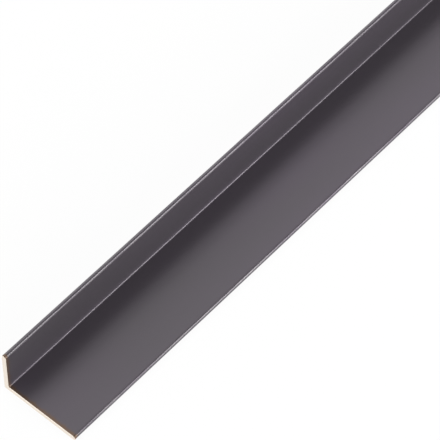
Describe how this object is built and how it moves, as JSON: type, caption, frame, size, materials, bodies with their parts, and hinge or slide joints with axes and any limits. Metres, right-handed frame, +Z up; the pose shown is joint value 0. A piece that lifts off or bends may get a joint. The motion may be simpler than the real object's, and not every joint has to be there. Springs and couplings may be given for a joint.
{
  "type": "unequal aluminium angle profile",
  "caption": "Straight L-section aluminium bar with a wide and a short leg, dark anodised, sawn square at its ends, for trimming edges and holding panels.",
  "frame": {"origin": "middle of the bar's footprint, on the floor under the wide leg", "axes": "+X along the length, away from the end nearest the viewer; +Y towards the heel, where the short leg stands; +Z up"},
  "size_m": [1, 0.025, 0.015],
  "materials": {
    "anodised_aluminium": "dark grey anodised, smooth satin, with bare metal on the sawn ends"
  },
  "bodies": {
    "root": {"angle_profile": "anodised_aluminium"}
  },
  "joints": []
}
